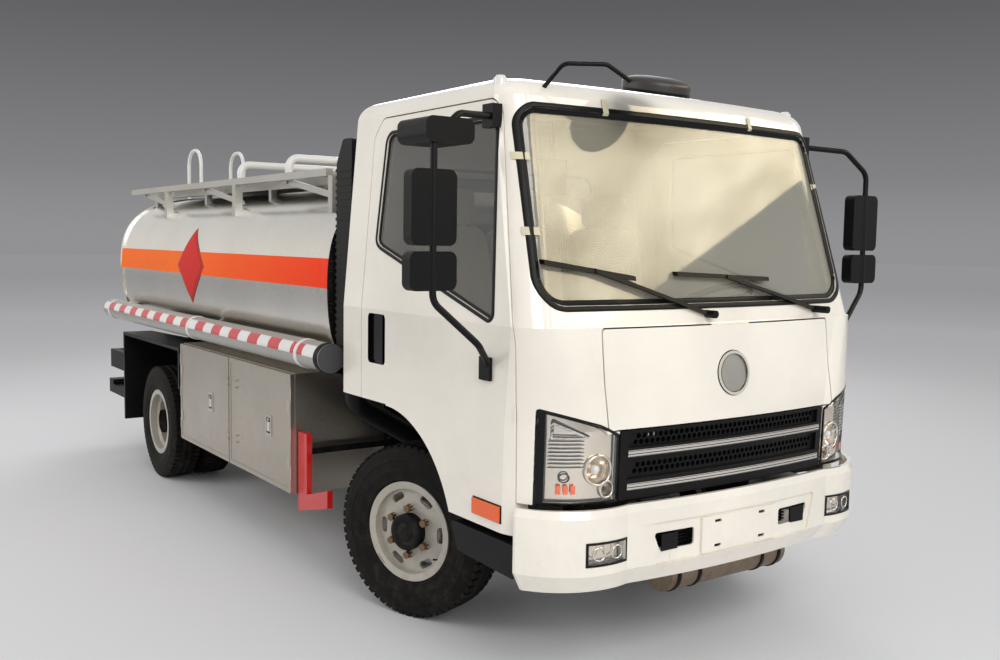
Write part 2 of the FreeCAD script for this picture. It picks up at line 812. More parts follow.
rim_barrel_wall = 9.0
rim_flange_wall = 8.0
rim_edge_inset = 4.0
rim_seat_step = 12.0
rim_seat_width = 34.0
rim_well_depth = 22.0
rim_well_ramp = 14.0
rim_well_outer = 10.0
rim_well_return = 16.0
rim_corner = 4.0
disc_wall = 12.0
disc_root = 44.0
disc_flat_radius = 132.0
disc_flat_inner = 124.0
front_disc_face = 62.0
rear_disc_face = twin_spacing / 2 - lap
hub_radius = 81.5
stud_circle_radius = 108.0
stud_count = 6
nut_radius = 18.0
nut_height = 26.0
hand_hole_circle_radius = 163.0
hand_hole_length = 74.0
hand_hole_width = 36.0
tread_half_width = 40.0
tyre_edge_half_width = 85.0
tyre_edge_radius = 386.0
tyre_shoulder_half_width = 99.0
tyre_shoulder_radius = 345.0
tyre_bulge_radius = 296.0
bead_gap = 0.6
drum_radius = 150.0
front_drum_inner = 68.0
front_drum_outer = 106.0
hub_proud = 45.0
spindle_radius = 30.0
spindle_length = 75.0
kingpin_radius = 16.0
kingpin_boss_radius = 32.0
kingpin_boss_height = 112.0
knuckle_eye_radius = 34.0
knuckle_eye_height = 40.0
knuckle_eye_gap = 2.0
knuckle_web_inner = 40.0
knuckle_web_outer = 66.0
steering_arm_length = 105.0
steering_arm_half = 14.0
steering_arm_thickness = 20.0
tie_rod_radius = 11.0
tie_rod_rise = 24.0
tie_pin_radius = 8.0
rear_hub_inner = 590.0
rear_hub_outer = 914.0
rear_drum_inner = 602.0
rear_drum_outer = 686.0
rear_flange_radius = 126.0
rear_tube_radius = 62.0
rear_tube_reach = 760.0


def rim_profile(face):
    """Half section of a rim with its disc, whose bolting face is at the given place along the axle."""
    w = rim_half_width
    seat = rim_seat_radius
    well = seat - rim_well_depth
    under_seat = seat - rim_barrel_wall
    under_well = well - rim_barrel_wall
    flange_in = w - rim_flange_wall
    seat_edge = w - rim_seat_step
    seat_back = seat_edge - rim_seat_width
    well_back = seat_back - rim_well_ramp
    well_end = rim_well_outer + rim_well_return
    bore = hub_radius - lap
    return [
        (-w, rim_flange_radius), (-flange_in, rim_flange_radius), (-seat_edge, seat), (-seat_back, seat),
        (-well_back, well), (rim_well_outer, well), (well_end, seat), (seat_edge, seat),
        (flange_in, rim_flange_radius), (w, rim_flange_radius), (w, rim_flange_radius - rim_flange_wall),
        (w - rim_edge_inset, under_seat), (disc_root + disc_wall, under_seat), (face, disc_flat_radius),
        (face, bore), (face - disc_wall, bore), (face - disc_wall, disc_flat_inner), (disc_root, under_seat),
        (well_end + rim_corner, under_seat), (rim_well_outer + rim_corner, under_well),
        (-well_back - rim_corner, under_well), (-seat_back - rim_corner, under_seat), (-w, under_seat),
    ]


def tyre_profile():
    """Half section of a tyre, its beads seated in the rim."""
    flange = rim_flange_radius + lap
    half = [
        (rim_half_width - rim_seat_step - bead_gap, rim_seat_radius + seat_gap),
        (rim_half_width - rim_flange_wall - bead_gap, flange),
        (rim_half_width + lap, flange + rim_corner),
        (tyre_half_width, tyre_bulge_radius), (tyre_shoulder_half_width, tyre_shoulder_radius),
        (tyre_edge_half_width, tyre_edge_radius), (tread_half_width, tyre_radius),
    ]
    return [(-x, r) for x, r in half] + [(x, r) for x, r in reversed(half)]


def hexagon(x, y, z, radius, length):
    """Nut along X."""
    outline = [(y + radius * math.cos(math.pi * turn / 3), z + radius * math.sin(math.pi * turn / 3))
               for turn in range(6)]
    return prism_x(outline, x, x + length)


def wheel_rim(face, nuts_on_face):
    """Rim with hand holes, and nuts on the face of its disc or on the hollow side."""
    rim = revolved(rim_profile(face))
    slot = prism_x(rectangle(hand_hole_circle_radius - hand_hole_width / 2,
                             hand_hole_circle_radius + hand_hole_width / 2,
                             -hand_hole_length / 2, hand_hole_length / 2),
                   disc_root - rim_well_return, face + overrun, hand_hole_width * corner_reach_share)
    holes = []
    nuts = []
    for index in range(stud_count):
        hole = slot.copy()
        hole.rotate(Vector(0, 0, 0), Vector(1, 0, 0), 360 * index / stud_count)
        holes.append(hole)
        angle = 2 * math.pi * (index + 0.5) / stud_count
        x = face - lap if nuts_on_face else face - disc_wall + lap - nut_height
        nuts.append(hexagon(x, stud_circle_radius * math.cos(angle), stud_circle_radius * math.sin(angle),
                            nut_radius, nut_height))
    return fused([rim.cut(holes)] + nuts)


def hub_and_drum(hub_inner, hub_outer, drum_inner, drum_outer):
    """Hub along X with the brake drum round its inner end."""
    hub = Part.makeCylinder(hub_radius, hub_outer - hub_inner, Vector(hub_inner, 0, 0), Vector(1, 0, 0))
    drum = Part.makeCylinder(drum_radius, drum_outer - drum_inner, Vector(drum_inner, 0, 0), Vector(1, 0, 0))
    return [hub, drum]


def steered(shape, side):
    """Piece drawn about a kingpin at the origin, turned by the steering angle and set on its side."""
    if side < 0:
        shape = mirrored(shape)
    shape = shape.copy()
    shape.rotate(Vector(0, 0, 0), Vector(0, 0, 1), steer_angle_deg)
    shape.translate(Vector(side * kingpin_x, 0, axle_z))
    return shape


def front_knuckle():
    """Knuckle with its kingpin, spindle and steering arm."""
    eye_low = kingpin_boss_height / 2 + knuckle_eye_gap
    top = eye_low + knuckle_eye_height
    pieces = []
    for sign in (-1, 1):
        pieces.append(cylinder((0, 0, sign * (eye_low + top) / 2), (0, 0, 1), knuckle_eye_radius,
                               knuckle_eye_height))
        pieces.append(box(0, knuckle_web_outer, -knuckle_eye_radius, knuckle_eye_radius,
                          sign * eye_low, sign * top))
    pieces.append(box(knuckle_web_inner, knuckle_web_outer, -knuckle_eye_radius, knuckle_eye_radius, -top, top))
    pieces.append(cylinder((0, 0, 0), (0, 0, 1), kingpin_radius, 2 * top))
    pieces.append(Part.makeCylinder(spindle_radius, spindle_length + lap, Vector(knuckle_web_outer - lap, 0, 0),
                                    Vector(1, 0, 0)))
    pieces.append(box(-steering_arm_half, steering_arm_half, 0, steering_arm_length, -top,
                      steering_arm_thickness - top))
    pieces.append(cylinder((0, steering_arm_length, steering_arm_thickness / 2 - top), (0, 0, 1),
                           steering_arm_half, steering_arm_thickness))
    hole = cylinder((0, steering_arm_length, -top), (0, 0, 1), tie_pin_radius + seat_gap,
                    2 * steering_arm_thickness + lap)
    return fused(pieces).cut(hole)


def build_front_wheels():
    """Front wheels with their tyres and knuckles, and the tie rod between the steering arms."""
    offset = front_wheel_x - kingpin_x
    hub = hub_and_drum(front_drum_inner, offset + front_disc_face + hub_proud, front_drum_inner, front_drum_outer)
    bore = Part.makeCylinder(spindle_radius + seat_gap, knuckle_web_outer + spindle_length + seat_gap,
                             Vector(0, 0, 0), Vector(1, 0, 0))
    wheel = fused([moved(wheel_rim(front_disc_face, True), offset, 0, 0)] + hub).cut(bore)
    tyre = moved(revolved(tyre_profile()), offset, 0, 0)
    knuckle = front_knuckle()
    for side, name in ((-1, "right"), (1, "left")):
        save("wheel_front_" + name, steered(wheel, side))
        save("tyre_front_" + name, steered(tyre, side))
        save("knuckle_" + name, steered(knuckle, side))

    turn = math.radians(steer_angle_deg)
    shift_x = -steering_arm_length * math.sin(turn)
    y = steering_arm_length * math.cos(turn)
    arm_z = axle_z - kingpin_boss_height / 2 - knuckle_eye_gap - knuckle_eye_height
    z = arm_z + steering_arm_thickness + tie_rod_rise
    pieces = [cylinder((shift_x, y, z), (1, 0, 0), tie_rod_radius, 2 * kingpin_x)]
    for side in (-1, 1):
        x = side * kingpin_x + shift_x
        pieces.append(cylinder((x, y, z), (0, 0, 1), steering_arm_half, 2 * tie_rod_radius))
        pieces.append(Part.makeCylinder(tie_pin_radius, z - arm_z, Vector(x, y, arm_z)))
    save("tie_rod", fused(pieces))


def build_rear_wheels():
    """Twin rear wheels, each pair bolted back to back on one hub."""
    tyre = revolved(tyre_profile())
    outer_rim = wheel_rim(rear_disc_face, False)
    outer_rim.rotate(Vector(0, 0, 0), Vector(0, 0, 1), 180)
    inner_x = rear_wheel_x - twin_spacing
    bore = Part.makeCylinder(rear_tube_radius + seat_gap, rear_tube_reach + seat_gap, Vector(0, 0, 0),
                             Vector(1, 0, 0))
    inner_rim = revolved(rim_profile(rear_disc_face))
    hub = hub_and_drum(rear_hub_inner, rear_hub_outer, rear_drum_inner, rear_drum_outer)
    hub.append(cylinder((rear_wheel_x - twin_spacing / 2, 0, 0), (1, 0, 0), rear_flange_radius, 4 * lap))
    pair = fused([fused(hub), moved(outer_rim, rear_wheel_x, 0, 0)])
    pair = fused([pair, moved(inner_rim, inner_x, 0, 0)]).cut(bore)
    for side, name in ((-1, "right"), (1, "left")):
        wheels = pair if side > 0 else mirrored(pair)
        save("wheels_rear_" + name, moved(wheels, 0, wheelbase, axle_z))
        save("tyres_rear_" + name, *[moved(tyre, side * x, wheelbase, axle_z) for x in (rear_wheel_x, inner_x)])


# Axles and springs

spring_x = 410.0
spring_half_width = 32.0
spring_thickness = 60.0
spring_end_thickness = 14.0
front_spring_half_length = 560.0
rear_spring_half_length = 620.0
spring_camber = 70.0
front_spring_z = 385.0
rear_spring_z = 478.0
hanger_half = 35.0
hanger_drop = 20.0
hanger_top_z = rail_top_z - 60.0
front_beam_drop = 70.0
front_beam_half_depth = 32.0
front_beam_height = 62.0
beam_swan_outer_x = 560.0
beam_swan_inner_x = 470.0
beam_swan_step = 18.0
front_pad_half_width = 45.0
front_pad_half_depth = 70.0
rear_pad_half_width = 50.0
rear_pad_half_depth = 80.0
banjo_radius = 165.0
banjo_face_radius = 95.0
banjo_half_depth = 120.0
banjo_rim_half = 25.0
quarter_deg = 90.0
nose_radius = 62.0
nose_length = 250.0
shaft_radius = 38.0
shaft_rear_y = 3060.0
shaft_rear_z = 412.0
shaft_front_z = 500.0
gearbox_end_y = 840.0
shaft_front_y = gearbox_end_y + seat_gap


def leaf_spring(centre_y, half_length, x, under_z):
    """Curved pack of leaves, thick over the axle and thin at its ends."""
    left = x - spring_half_width
    end_z = under_z + spring_camber
    top_z = under_z + spring_thickness
    end_top_z = end_z + spring_end_thickness
    front_y, back_y = centre_y - half_length, centre_y + half_length
    wire = Part.Wire([
        Part.Arc(Vector(left, front_y, end_z), Vector(left, centre_y, under_z),
                 Vector(left, back_y, end_z)).toShape(),
        Part.LineSegment(Vector(left, back_y, end_z), Vector(left, back_y, end_top_z)).toShape(),
        Part.Arc(Vector(left, back_y, end_top_z), Vector(left, centre_y, top_z),
                 Vector(left, front_y, end_top_z)).toShape(),
        Part.LineSegment(Vector(left, front_y, end_top_z), Vector(left, front_y, end_z)).toShape(),
    ])
    return Part.Face(wire).extrude(Vector(2 * spring_half_width, 0, 0))


def spring_hangers(side, centre_y, half_length, under_z):
    """Brackets that hold the ends of a spring to the outside of the frame rail."""
    low_z = under_z + spring_camber - hanger_drop
    return [box(side * (rail_outer_x + seat_gap), side * (spring_x + spring_half_width),
                centre_y + end * half_length - hanger_half, centre_y + end * half_length + hanger_half,
                low_z, hanger_top_z) for end in (-1, 1)]


def build_axles():
    """Front beam, rear axle with its propeller shaft, and four leaf springs with their hangers."""
    drop_z = axle_z - front_beam_drop
    half = front_beam_height / 2
    outer, inner = beam_swan_outer_x, beam_swan_inner_x
    step = beam_swan_step
    beam = prism_y([(-kingpin_x, axle_z - half), (-outer, axle_z - half), (-inner, drop_z - half),
                    (inner, drop_z - half), (outer, axle_z - half), (kingpin_x, axle_z - half),
                    (kingpin_x, axle_z + half), (outer - step, axle_z + half), (inner - step, drop_z + half),
                    (step - inner, drop_z + half), (step - outer, axle_z + half), (-kingpin_x, axle_z + half)],
                   -front_beam_half_depth, front_beam_half_depth)
    pieces = [beam]
    bores = []
    for side in (-1, 1):
        pieces.append(cylinder((side * kingpin_x, 0, axle_z), (0, 0, 1), kingpin_boss_radius,
                               kingpin_boss_height))
        pieces.append(box(side * (spring_x - front_pad_half_width), side * (spring_x + front_pad_half_width),
                          -front_pad_half_depth, front_pad_half_depth, drop_z + half - lap, front_spring_z))
        bores.append(cylinder((side * kingpin_x, 0, axle_z), (0, 0, 1), kingpin_radius + seat_gap,
                              kingpin_boss_height + overrun))
    save("front_axle", fused(pieces).cut(bores))

    start = Vector(0, shaft_front_y, shaft_front_z)
    run = Vector(0, shaft_rear_y, shaft_rear_z) - start
    banjo = revolved([(-banjo_half_depth, 0), (-banjo_half_depth, banjo_face_radius), (-banjo_rim_half, banjo_radius),
                      (banjo_rim_half, banjo_radius), (banjo_half_depth, banjo_face_radius), (banjo_half_depth, 0)])
    banjo.rotate(Vector(0, 0, 0), Vector(0, 0, 1), quarter_deg)
    pieces = [
        cylinder((0, wheelbase, axle_z), (1, 0, 0), rear_tube_radius, 2 * rear_tube_reach),
        moved(banjo, 0, wheelbase, axle_z),
        Part.makeCylinder(nose_radius, nose_length, Vector(0, wheelbase, axle_z), Vector(0, -1, 0)),
        Part.makeCylinder(shaft_radius, run.Length, start, run),
    ]
    for side in (-1, 1):
        pieces.append(box(side * (spring_x - rear_pad_half_width), side * (spring_x + rear_pad_half_width),
                          wheelbase - rear_pad_half_depth, wheelbase + rear_pad_half_depth,
                          axle_z, rear_spring_z))
    front_cut = box(-nose_radius, nose_radius, 0, shaft_front_y, 0, rail_top_z)
    save("rear_axle", fused(pieces).cut(front_cut))

    springs = []
    for centre_y, half_length, under_z in ((0, front_spring_half_length, front_spring_z),
                                           (wheelbase, rear_spring_half_length, rear_spring_z)):
        for side in (-1, 1):
            springs.append(fused([leaf_spring(centre_y, half_length, side * spring_x, under_z)]
                                 + spring_hangers(side, centre_y, half_length, under_z)))
    save("leaf_springs", *springs)


# Frame and engine

bumper_bracket_top_z = 588.0
ear_back_y = rail_front_y + 60.0
ear_front_y = tilt_pivot_y - 20.0
ear_half = 36.0
cross_member_height = 100.0
cross_member_depth = 60.0
cross_member_stations = (-760.0, 960.0, 1350.0, 2150.0, 2660.0, 3880.0, 4560.0)
tank_rim_step = 10.0
bearer_half_width = 470.0
bearer_stations = (1000.0, 2080.0, 3160.0, 4180.0)
bearer_depth = 90.0
sill_height = 70.0
engine_half_width = 270.0
engine_front_y = -560.0
engine_back_y = 260.0
engine_low_z = 470.0
engine_high_z = 935.0
gearbox_half_width = 170.0
gearbox_low_z = 450.0
gearbox_high_z = 700.0
gearbox_taper = 60.0
mount_half = 30.0
mount_low_z = 600.0
mount_high_z = 640.0
engine_mount_y = -400.0
gearbox_mount_y = 560.0


def frame_rail(side):
    """Channel rail with the ear that carries the cab's tilt pivot."""
    outer = side * rail_outer_x
    inner = side * (rail_outer_x - rail_flange)
    rail = box(outer, inner, rail_front_y, rail_rear_y, rail_low_z, rail_top_z)
    hollow = box(outer - side * rail_wall, inner - side * overrun, rail_front_y - overrun, rail_rear_y + overrun,
                 rail_low_z + rail_wall, rail_top_z - rail_wall)
    ear = prism_x([(ear_back_y, rail_low_z), (ear_front_y, rail_low_z), (ear_front_y, bumper_bracket_top_z),
                   (tilt_pivot_y - ear_half, tilt_pivot_z), (tilt_pivot_y - ear_half, tilt_pivot_z + ear_half),
                   (tilt_pivot_y + ear_half, tilt_pivot_z + ear_half), (ear_back_y, rail_top_z)],
                  outer, outer - side * ear_thickness)
    pin_inner = rail_outer_x - ear_thickness - 2 * seat_gap - tilt_lug_thickness
    pin = cylinder((side * (rail_outer_x + pin_inner) / 2, tilt_pivot_y, tilt_pivot_z), (1, 0, 0),
                   tilt_pin_radius, rail_outer_x - pin_inner)
    return [rail.cut(hollow), ear, pin]


def tank_bearers():
    """Sills on the rails, and cradles that seat the tank."""
    cradle = Part.makeLoft([tank_wire(tank_front_y, tank_rim_step - seat_gap),
                            tank_wire(tank_rear_y, tank_rim_step - seat_gap)], True, True)
    blocks = [box(-bearer_half_width, bearer_half_width, y - bearer_depth / 2, y + bearer_depth / 2,
                  rail_top_z - lap, tank_centre_z) for y in bearer_stations]
    sills = [box(side * (rail_outer_x - rail_flange), side * rail_outer_x, tank_front_y, tank_rear_y,
                 rail_top_z - lap, rail_top_z + sill_height) for side in (-1, 1)]
    return [block.cut(cradle) for block in blocks] + sills


def build_frame():
    """Two channel rails with cross members, cab pivot ears and tank bearers."""
    pieces = frame_rail(-1) + frame_rail(1)
    member_top = rail_top_z - rail_wall
    for y in cross_member_stations:
        pieces.append(box(-rail_outer_x + rail_wall - lap, rail_outer_x - rail_wall + lap,
                          y - cross_member_depth / 2, y + cross_member_depth / 2,
                          member_top - cross_member_height, member_top))
    save("chassis_frame", fused(pieces + tank_bearers()))


def build_engine():
    """Engine and gearbox as one plain block, on four mounts in the rails."""
    engine = box(-engine_half_width, engine_half_width, engine_front_y, engine_back_y, engine_low_z, engine_high_z)
    gearbox = prism_x([(engine_back_y - lap, gearbox_low_z), (gearbox_end_y, gearbox_low_z + gearbox_taper / 2),
                       (gearbox_end_y, gearbox_high_z - gearbox_taper), (engine_back_y - lap, gearbox_high_z)],
                      -gearbox_half_width, gearbox_half_width)
    reach = rail_outer_x - rail_wall - seat_gap
    mounts = [box(-reach, reach, y - mount_half, y + mount_half, mount_low_z, mount_high_z)
              for y in (engine_mount_y, gearbox_mount_y)]
    save("engine", fused([engine, gearbox] + mounts))


# Tank

tank_arc_point_count = 8
tank_rim_depth = 45.0
head_edge_inset = 60.0
head_crown_inset = 230.0
manhole_y = 2300.0
manhole_radius = 270.0
manhole_collar_z = 2120.0
manhole_lid_height = 30.0
manhole_lid_proud = 12.0
lid_hinge_radius = 8.0
lid_hinge_half = 60.0
lid_hinge_ear = 16.0
lid_hinge_reach = 34.0


def tank_wire(y, shrink):
    """Rounded section of the tank at one station, as a smooth closed curve."""
    a = tank_half_width - shrink
    b = tank_half_height - shrink
    points = []
    count = 4 * tank_arc_point_count
    for index in range(count):
        angle = 2 * math.pi * (index + 0.5) / count
        c, s = math.cos(angle), math.sin(angle)
        x = a * math.copysign(abs(c) ** (2 / tank_corner_power), c)
        z = b * math.copysign(abs(s) ** (2 / tank_corner_power), s)
        points.append(Vector(x, y, tank_centre_z + z))
    curve = Part.BSplineCurve()
    curve.interpolate(points, PeriodicFlag=True)
    return Part.Wire(curve.toShape())


def tank_top_z(x):
    """Height of the tank's surface at a distance from its centre plane."""
    share = 1 - (abs(x) / tank_half_width) ** tank_corner_power
    return tank_centre_z + tank_half_height * share ** (1 / tank_corner_power)


def tank_keepout():
    """Space a little larger than the tank's body, for what seats on it."""
    return Part.makeLoft([tank_wire(tank_front_y, tank_rim_step - seat_gap),
                          tank_wire(tank_rear_y, tank_rim_step - seat_gap)], True, True)


def tank_head(y, out, gap):
    """Dished end of the tank."""
    return Part.makeLoft([tank_wire(y, head_edge_inset - gap),
                          tank_wire(y + out * (tank_head_depth + gap), head_crown_inset - gap)], True, True)


def build_tank():
    """Tank body with dished heads, rolled rims and manhole collar, and the hinged lid on it."""
    body = Part.makeLoft([tank_wire(tank_front_y, tank_rim_step), tank_wire(tank_rear_y, tank_rim_step)], True, True)
    rims = []
    for y0, y1 in ((tank_front_y, tank_front_y + tank_rim_depth), (tank_rear_y - tank_rim_depth, tank_rear_y)):
        rims.append(Part.makeLoft([tank_wire(y0, 0), tank_wire(y1, 0)], True, True))
    heads = [tank_head(tank_front_y, -1, 0), tank_head(tank_rear_y, 1, 0)]
    collar = Part.makeCylinder(manhole_radius, manhole_collar_z - tank_centre_z,
                               Vector(0, manhole_y, tank_centre_z))
    hinge_y = manhole_y + manhole_radius + lid_hinge_reach
    hinge_z = manhole_collar_z + seat_gap + manhole_lid_height / 2
    ears = []
    for side in (-1, 1):
        ear = box(side * (lid_hinge_half + seat_gap), side * (lid_hinge_half + lid_hinge_ear),
                  manhole_y, hinge_y + lid_hinge_ear, manhole_collar_z - overrun, hinge_z + lid_hinge_ear)
        ears.append(ear.cut(box(side * lid_hinge_half, side * (lid_hinge_half + 2 * lid_hinge_ear),
                                manhole_y - overrun, hinge_y - lid_hinge_ear, manhole_collar_z - lap,
                                hinge_z + overrun)))
    bore = cylinder((0, hinge_y, hinge_z), (1, 0, 0), lid_hinge_radius + seat_gap, 4 * lid_hinge_half)
    save("tank", fused([body] + rims + heads + [collar] + ears).cut(bore))

    low = manhole_collar_z + seat_gap
    lid = Part.makeCylinder(manhole_radius + manhole_lid_proud, manhole_lid_height, Vector(0, manhole_y, low))
    lug = box(-lid_hinge_half, lid_hinge_half, manhole_y + manhole_radius, hinge_y, low, low + manhole_lid_height)
    eye = cylinder((0, hinge_y, hinge_z), (1, 0, 0), manhole_lid_height / 2, 2 * lid_hinge_half)
    pin = cylinder((0, hinge_y, hinge_z), (1, 0, 0), lid_hinge_radius, 2 * (lid_hinge_half + lid_hinge_ear))
    ear_space = [box(side * lid_hinge_half, side * (lid_hinge_half + 2 * lid_hinge_ear),
                     hinge_y - 2 * lid_hinge_ear, hinge_y - lid_hinge_ear, low, low + manhole_lid_height)
                 for side in (-1, 1)]
    save("manhole_lid", fused([lid.cut(ear_space), lug, eye, pin]))


# Walkway: posts, deck, hoops, ladder, and the guard rails that fold down on their links

post_count = 3
link_half = 6.0
link_half_height = 17.0
link_gap = 5.0
link_x = post_x - post_half - link_gap - link_half
link_pin_radius = 8.0
guard_front_y = 940.0
guard_rear_y = 4560.0
guard_plate_half = 45.0
guard_plate_thickness = 6.0
guard_rail_z = post_top_z + seat_gap
deck_front_y = tank_front_y + 120.0
deck_rear_y = tank_rear_y - 60.0
deck_edge_width = 40.0
deck_edge_height = 50.0
deck_leg_count = 4
deck_leg_inset = 60.0
deck_leg_half = 20.0
manhole_well_side = 70.0
manhole_well_rear = 120.0
hoop_stations = (1900.0, 2700.0)
hoop_half_width = 600.0
hoop_top_z = 2212.0
hoop_tube_radius = 24.0
hoop_bend = 70.0
ladder_x = -150.0
ladder_half_width = 180.0
ladder_tube_radius = 14.0
ladder_foot_z = 760.0
ladder_pitch = 270.0
ladder_rung_count = 5
ladder_gap = 70.0
ladder_stay_heights = (1180.0, 1700.0)
ladder_stay_height = 30.0
grab_top_z = 2430.0
grab_run = 300.0
grab_bend = 130.0


def guard_lower_pivots():
    """Stations of the fixed pivots of a guard rail's links."""
    return [post_front_y + index * post_spacing for index in range(post_count)]


def build_walkway():
    """Deck on legs, and the posts that carry the guard rails' links."""
    plate = box(-deck_half_width, deck_half_width, deck_front_y, deck_rear_y, deck_z, deck_z + deck_thickness)
    well_half = manhole_radius + manhole_well_side
    well = box(-well_half, well_half, manhole_y - well_half, manhole_y + manhole_radius + manhole_well_rear,
               deck_z - overrun, deck_z + 2 * overrun)
    pieces = [plate.cut(well)]
    edge_x = deck_half_width - deck_edge_width
    edge_low = deck_z - deck_edge_height
    leg_x = edge_x + deck_leg_half
    for side in (-1, 1):
        pieces.append(box(side * edge_x, side * deck_half_width, deck_front_y, deck_rear_y,
                          edge_low, deck_z + deck_thickness))
        for y in guard_lower_pivots():
            pieces.append(box(side * (post_x - post_half), side * (post_x + post_half), y - post_half,
                              y + post_half, tank_top_z(post_x + post_half) - overrun, post_top_z))
            pieces.append(cylinder((side * (link_x - link_half + post_x) / 2, y, guard_pivot_z), (1, 0, 0),
                                   link_pin_radius, post_x - link_x + link_half))
        for index in range(deck_leg_count):
            run = deck_rear_y - deck_front_y - 2 * deck_leg_inset
            y = deck_front_y + deck_leg_inset + index * run / (deck_leg_count - 1)
            pieces.append(box(side * (leg_x - deck_leg_half), side * (leg_x + deck_leg_half), y - deck_leg_half,
                              y + deck_leg_half, tank_top_z(leg_x) - overrun, edge_low + lap))
    save("walkway", fused(pieces).cut(tank_keepout()))


def build_hoops():
    """Two low hoops across the deck."""
    foot = deck_z + deck_thickness + seat_gap
    x = hoop_half_width
    hoops = [bent_tube([(-x, y, foot), (-x, y, hoop_top_z), (x, y, hoop_top_z), (x, y, foot)],
                       hoop_tube_radius, hoop_bend) for y in hoop_stations]
    save("roll_hoops", *hoops)


def build_ladder():
    """Rear ladder whose stiles bend over at the top as grab rails."""
    rear = tank_rear_y + tank_head_depth + ladder_gap
    foot = deck_z + deck_thickness + seat_gap
    pieces = []
    for side in (-1, 1):
        x = ladder_x + side * ladder_half_width
        pieces.append(bent_tube([(x, rear, ladder_foot_z), (x, rear, grab_top_z), (x, rear - grab_run, grab_top_z),
                                 (x, rear - grab_run, foot)], ladder_tube_radius, grab_bend))
    for index in range(ladder_rung_count):
        z = ladder_foot_z + ladder_tube_radius + lap + index * ladder_pitch
        pieces.append(cylinder((ladder_x, rear, z), (1, 0, 0), ladder_tube_radius, 2 * ladder_half_width))
    reach = ladder_half_width + ladder_tube_radius
    for z in ladder_stay_heights:
        pieces.append(box(ladder_x - reach, ladder_x + reach, tank_rear_y, rear, z, z + ladder_stay_height))
    save("rear_ladder", fused(pieces).cut(tank_head(tank_rear_y, 1, seat_gap)).cut(
        box(-cab_half_width, cab_half_width, deck_front_y, tank_rear_y + seat_gap, 0, tank_centre_z
            + tank_half_height)))


def guard_link(y):
    """Flat bar with round ends, from a lower pivot to the rail's pivot."""
    run = Vector(0, guard_link_run, guard_link_rise)
    length = run.Length
    bar = box(-link_half, link_half, 0, length, -link_half_height, link_half_height)
    ends = [cylinder((0, along, 0), (1, 0, 0), link_half_height, 2 * link_half) for along in (0, length)]
    holes = [cylinder((0, along, 0), (1, 0, 0), link_pin_radius + seat_gap, 2 * link_half + overrun)
             for along in (0, length)]
    link = fused([bar] + ends).cut(holes)
    link.rotate(Vector(0, 0, 0), Vector(1, 0, 0), math.degrees(math.atan2(guard_link_rise, guard_link_run)))
    return moved(link, link_x, y, guard_pivot_z)


def build_guard_rails():
    """Two guard rails, each on three links."""
    for side, name in ((-1, "right"), (1, "left")):
        half = guard_tube / 2
        pieces = [box(side * (post_x - half), side * (post_x + half), guard_front_y, guard_rear_y,
                      guard_rail_z, guard_rail_z + guard_tube)]
        for place, y in zip(("front", "middle", "rear"), guard_lower_pivots()):
            link = guard_link(y)
            save("guard_link_" + name + "_" + place, link if side > 0 else mirrored(link))
            top_y = y + guard_link_run
            top_z = guard_pivot_z + guard_link_rise
            low = top_z - 2 * link_pin_radius
            plate_x = link_x + link_half + link_gap
            pieces.append(prism_x([(top_y - guard_plate_half, guard_rail_z + guard_tube),
                                   (top_y - 2 * link_pin_radius, low), (top_y + 2 * link_pin_radius, low),
                                   (top_y + guard_plate_half, guard_rail_z + guard_tube)],
                                  side * plate_x, side * (plate_x + guard_plate_thickness)))
            pin_start = link_x - link_half
            pieces.append(cylinder((side * (pin_start + plate_x + guard_plate_thickness) / 2, top_y, top_z),
                                   (1, 0, 0), link_pin_radius, plate_x + guard_plate_thickness - pin_start))
        save("guard_rail_" + name, fused(pieces))


# Equipment cabinet on the right side, hollow, with two doors

cabinet_face_x = 1020.0
cabinet_body_x = 996.0
cabinet_shoulder_x = 780.0
cabinet_inner_x = 470.0
cabinet_front_y = 916.0
cabinet_rear_y = 2707.0
cabinet_low_z = 379.0
cabinet_top_z = 1019.0
cabinet_inner_top_z = 880.0
cabinet_wall = 20.0
cabinet_frame = 34.0
cabinet_door_inset = 4.0
cabinet_hinge_radius = 6.0
cabinet_hinge_length = 70.0
cabinet_hinge_count = 3
cabinet_arm_inset = 250.0
cabinet_arm_half = 40.0
bracket_low_z = 600.0
bracket_high_z = 690.0


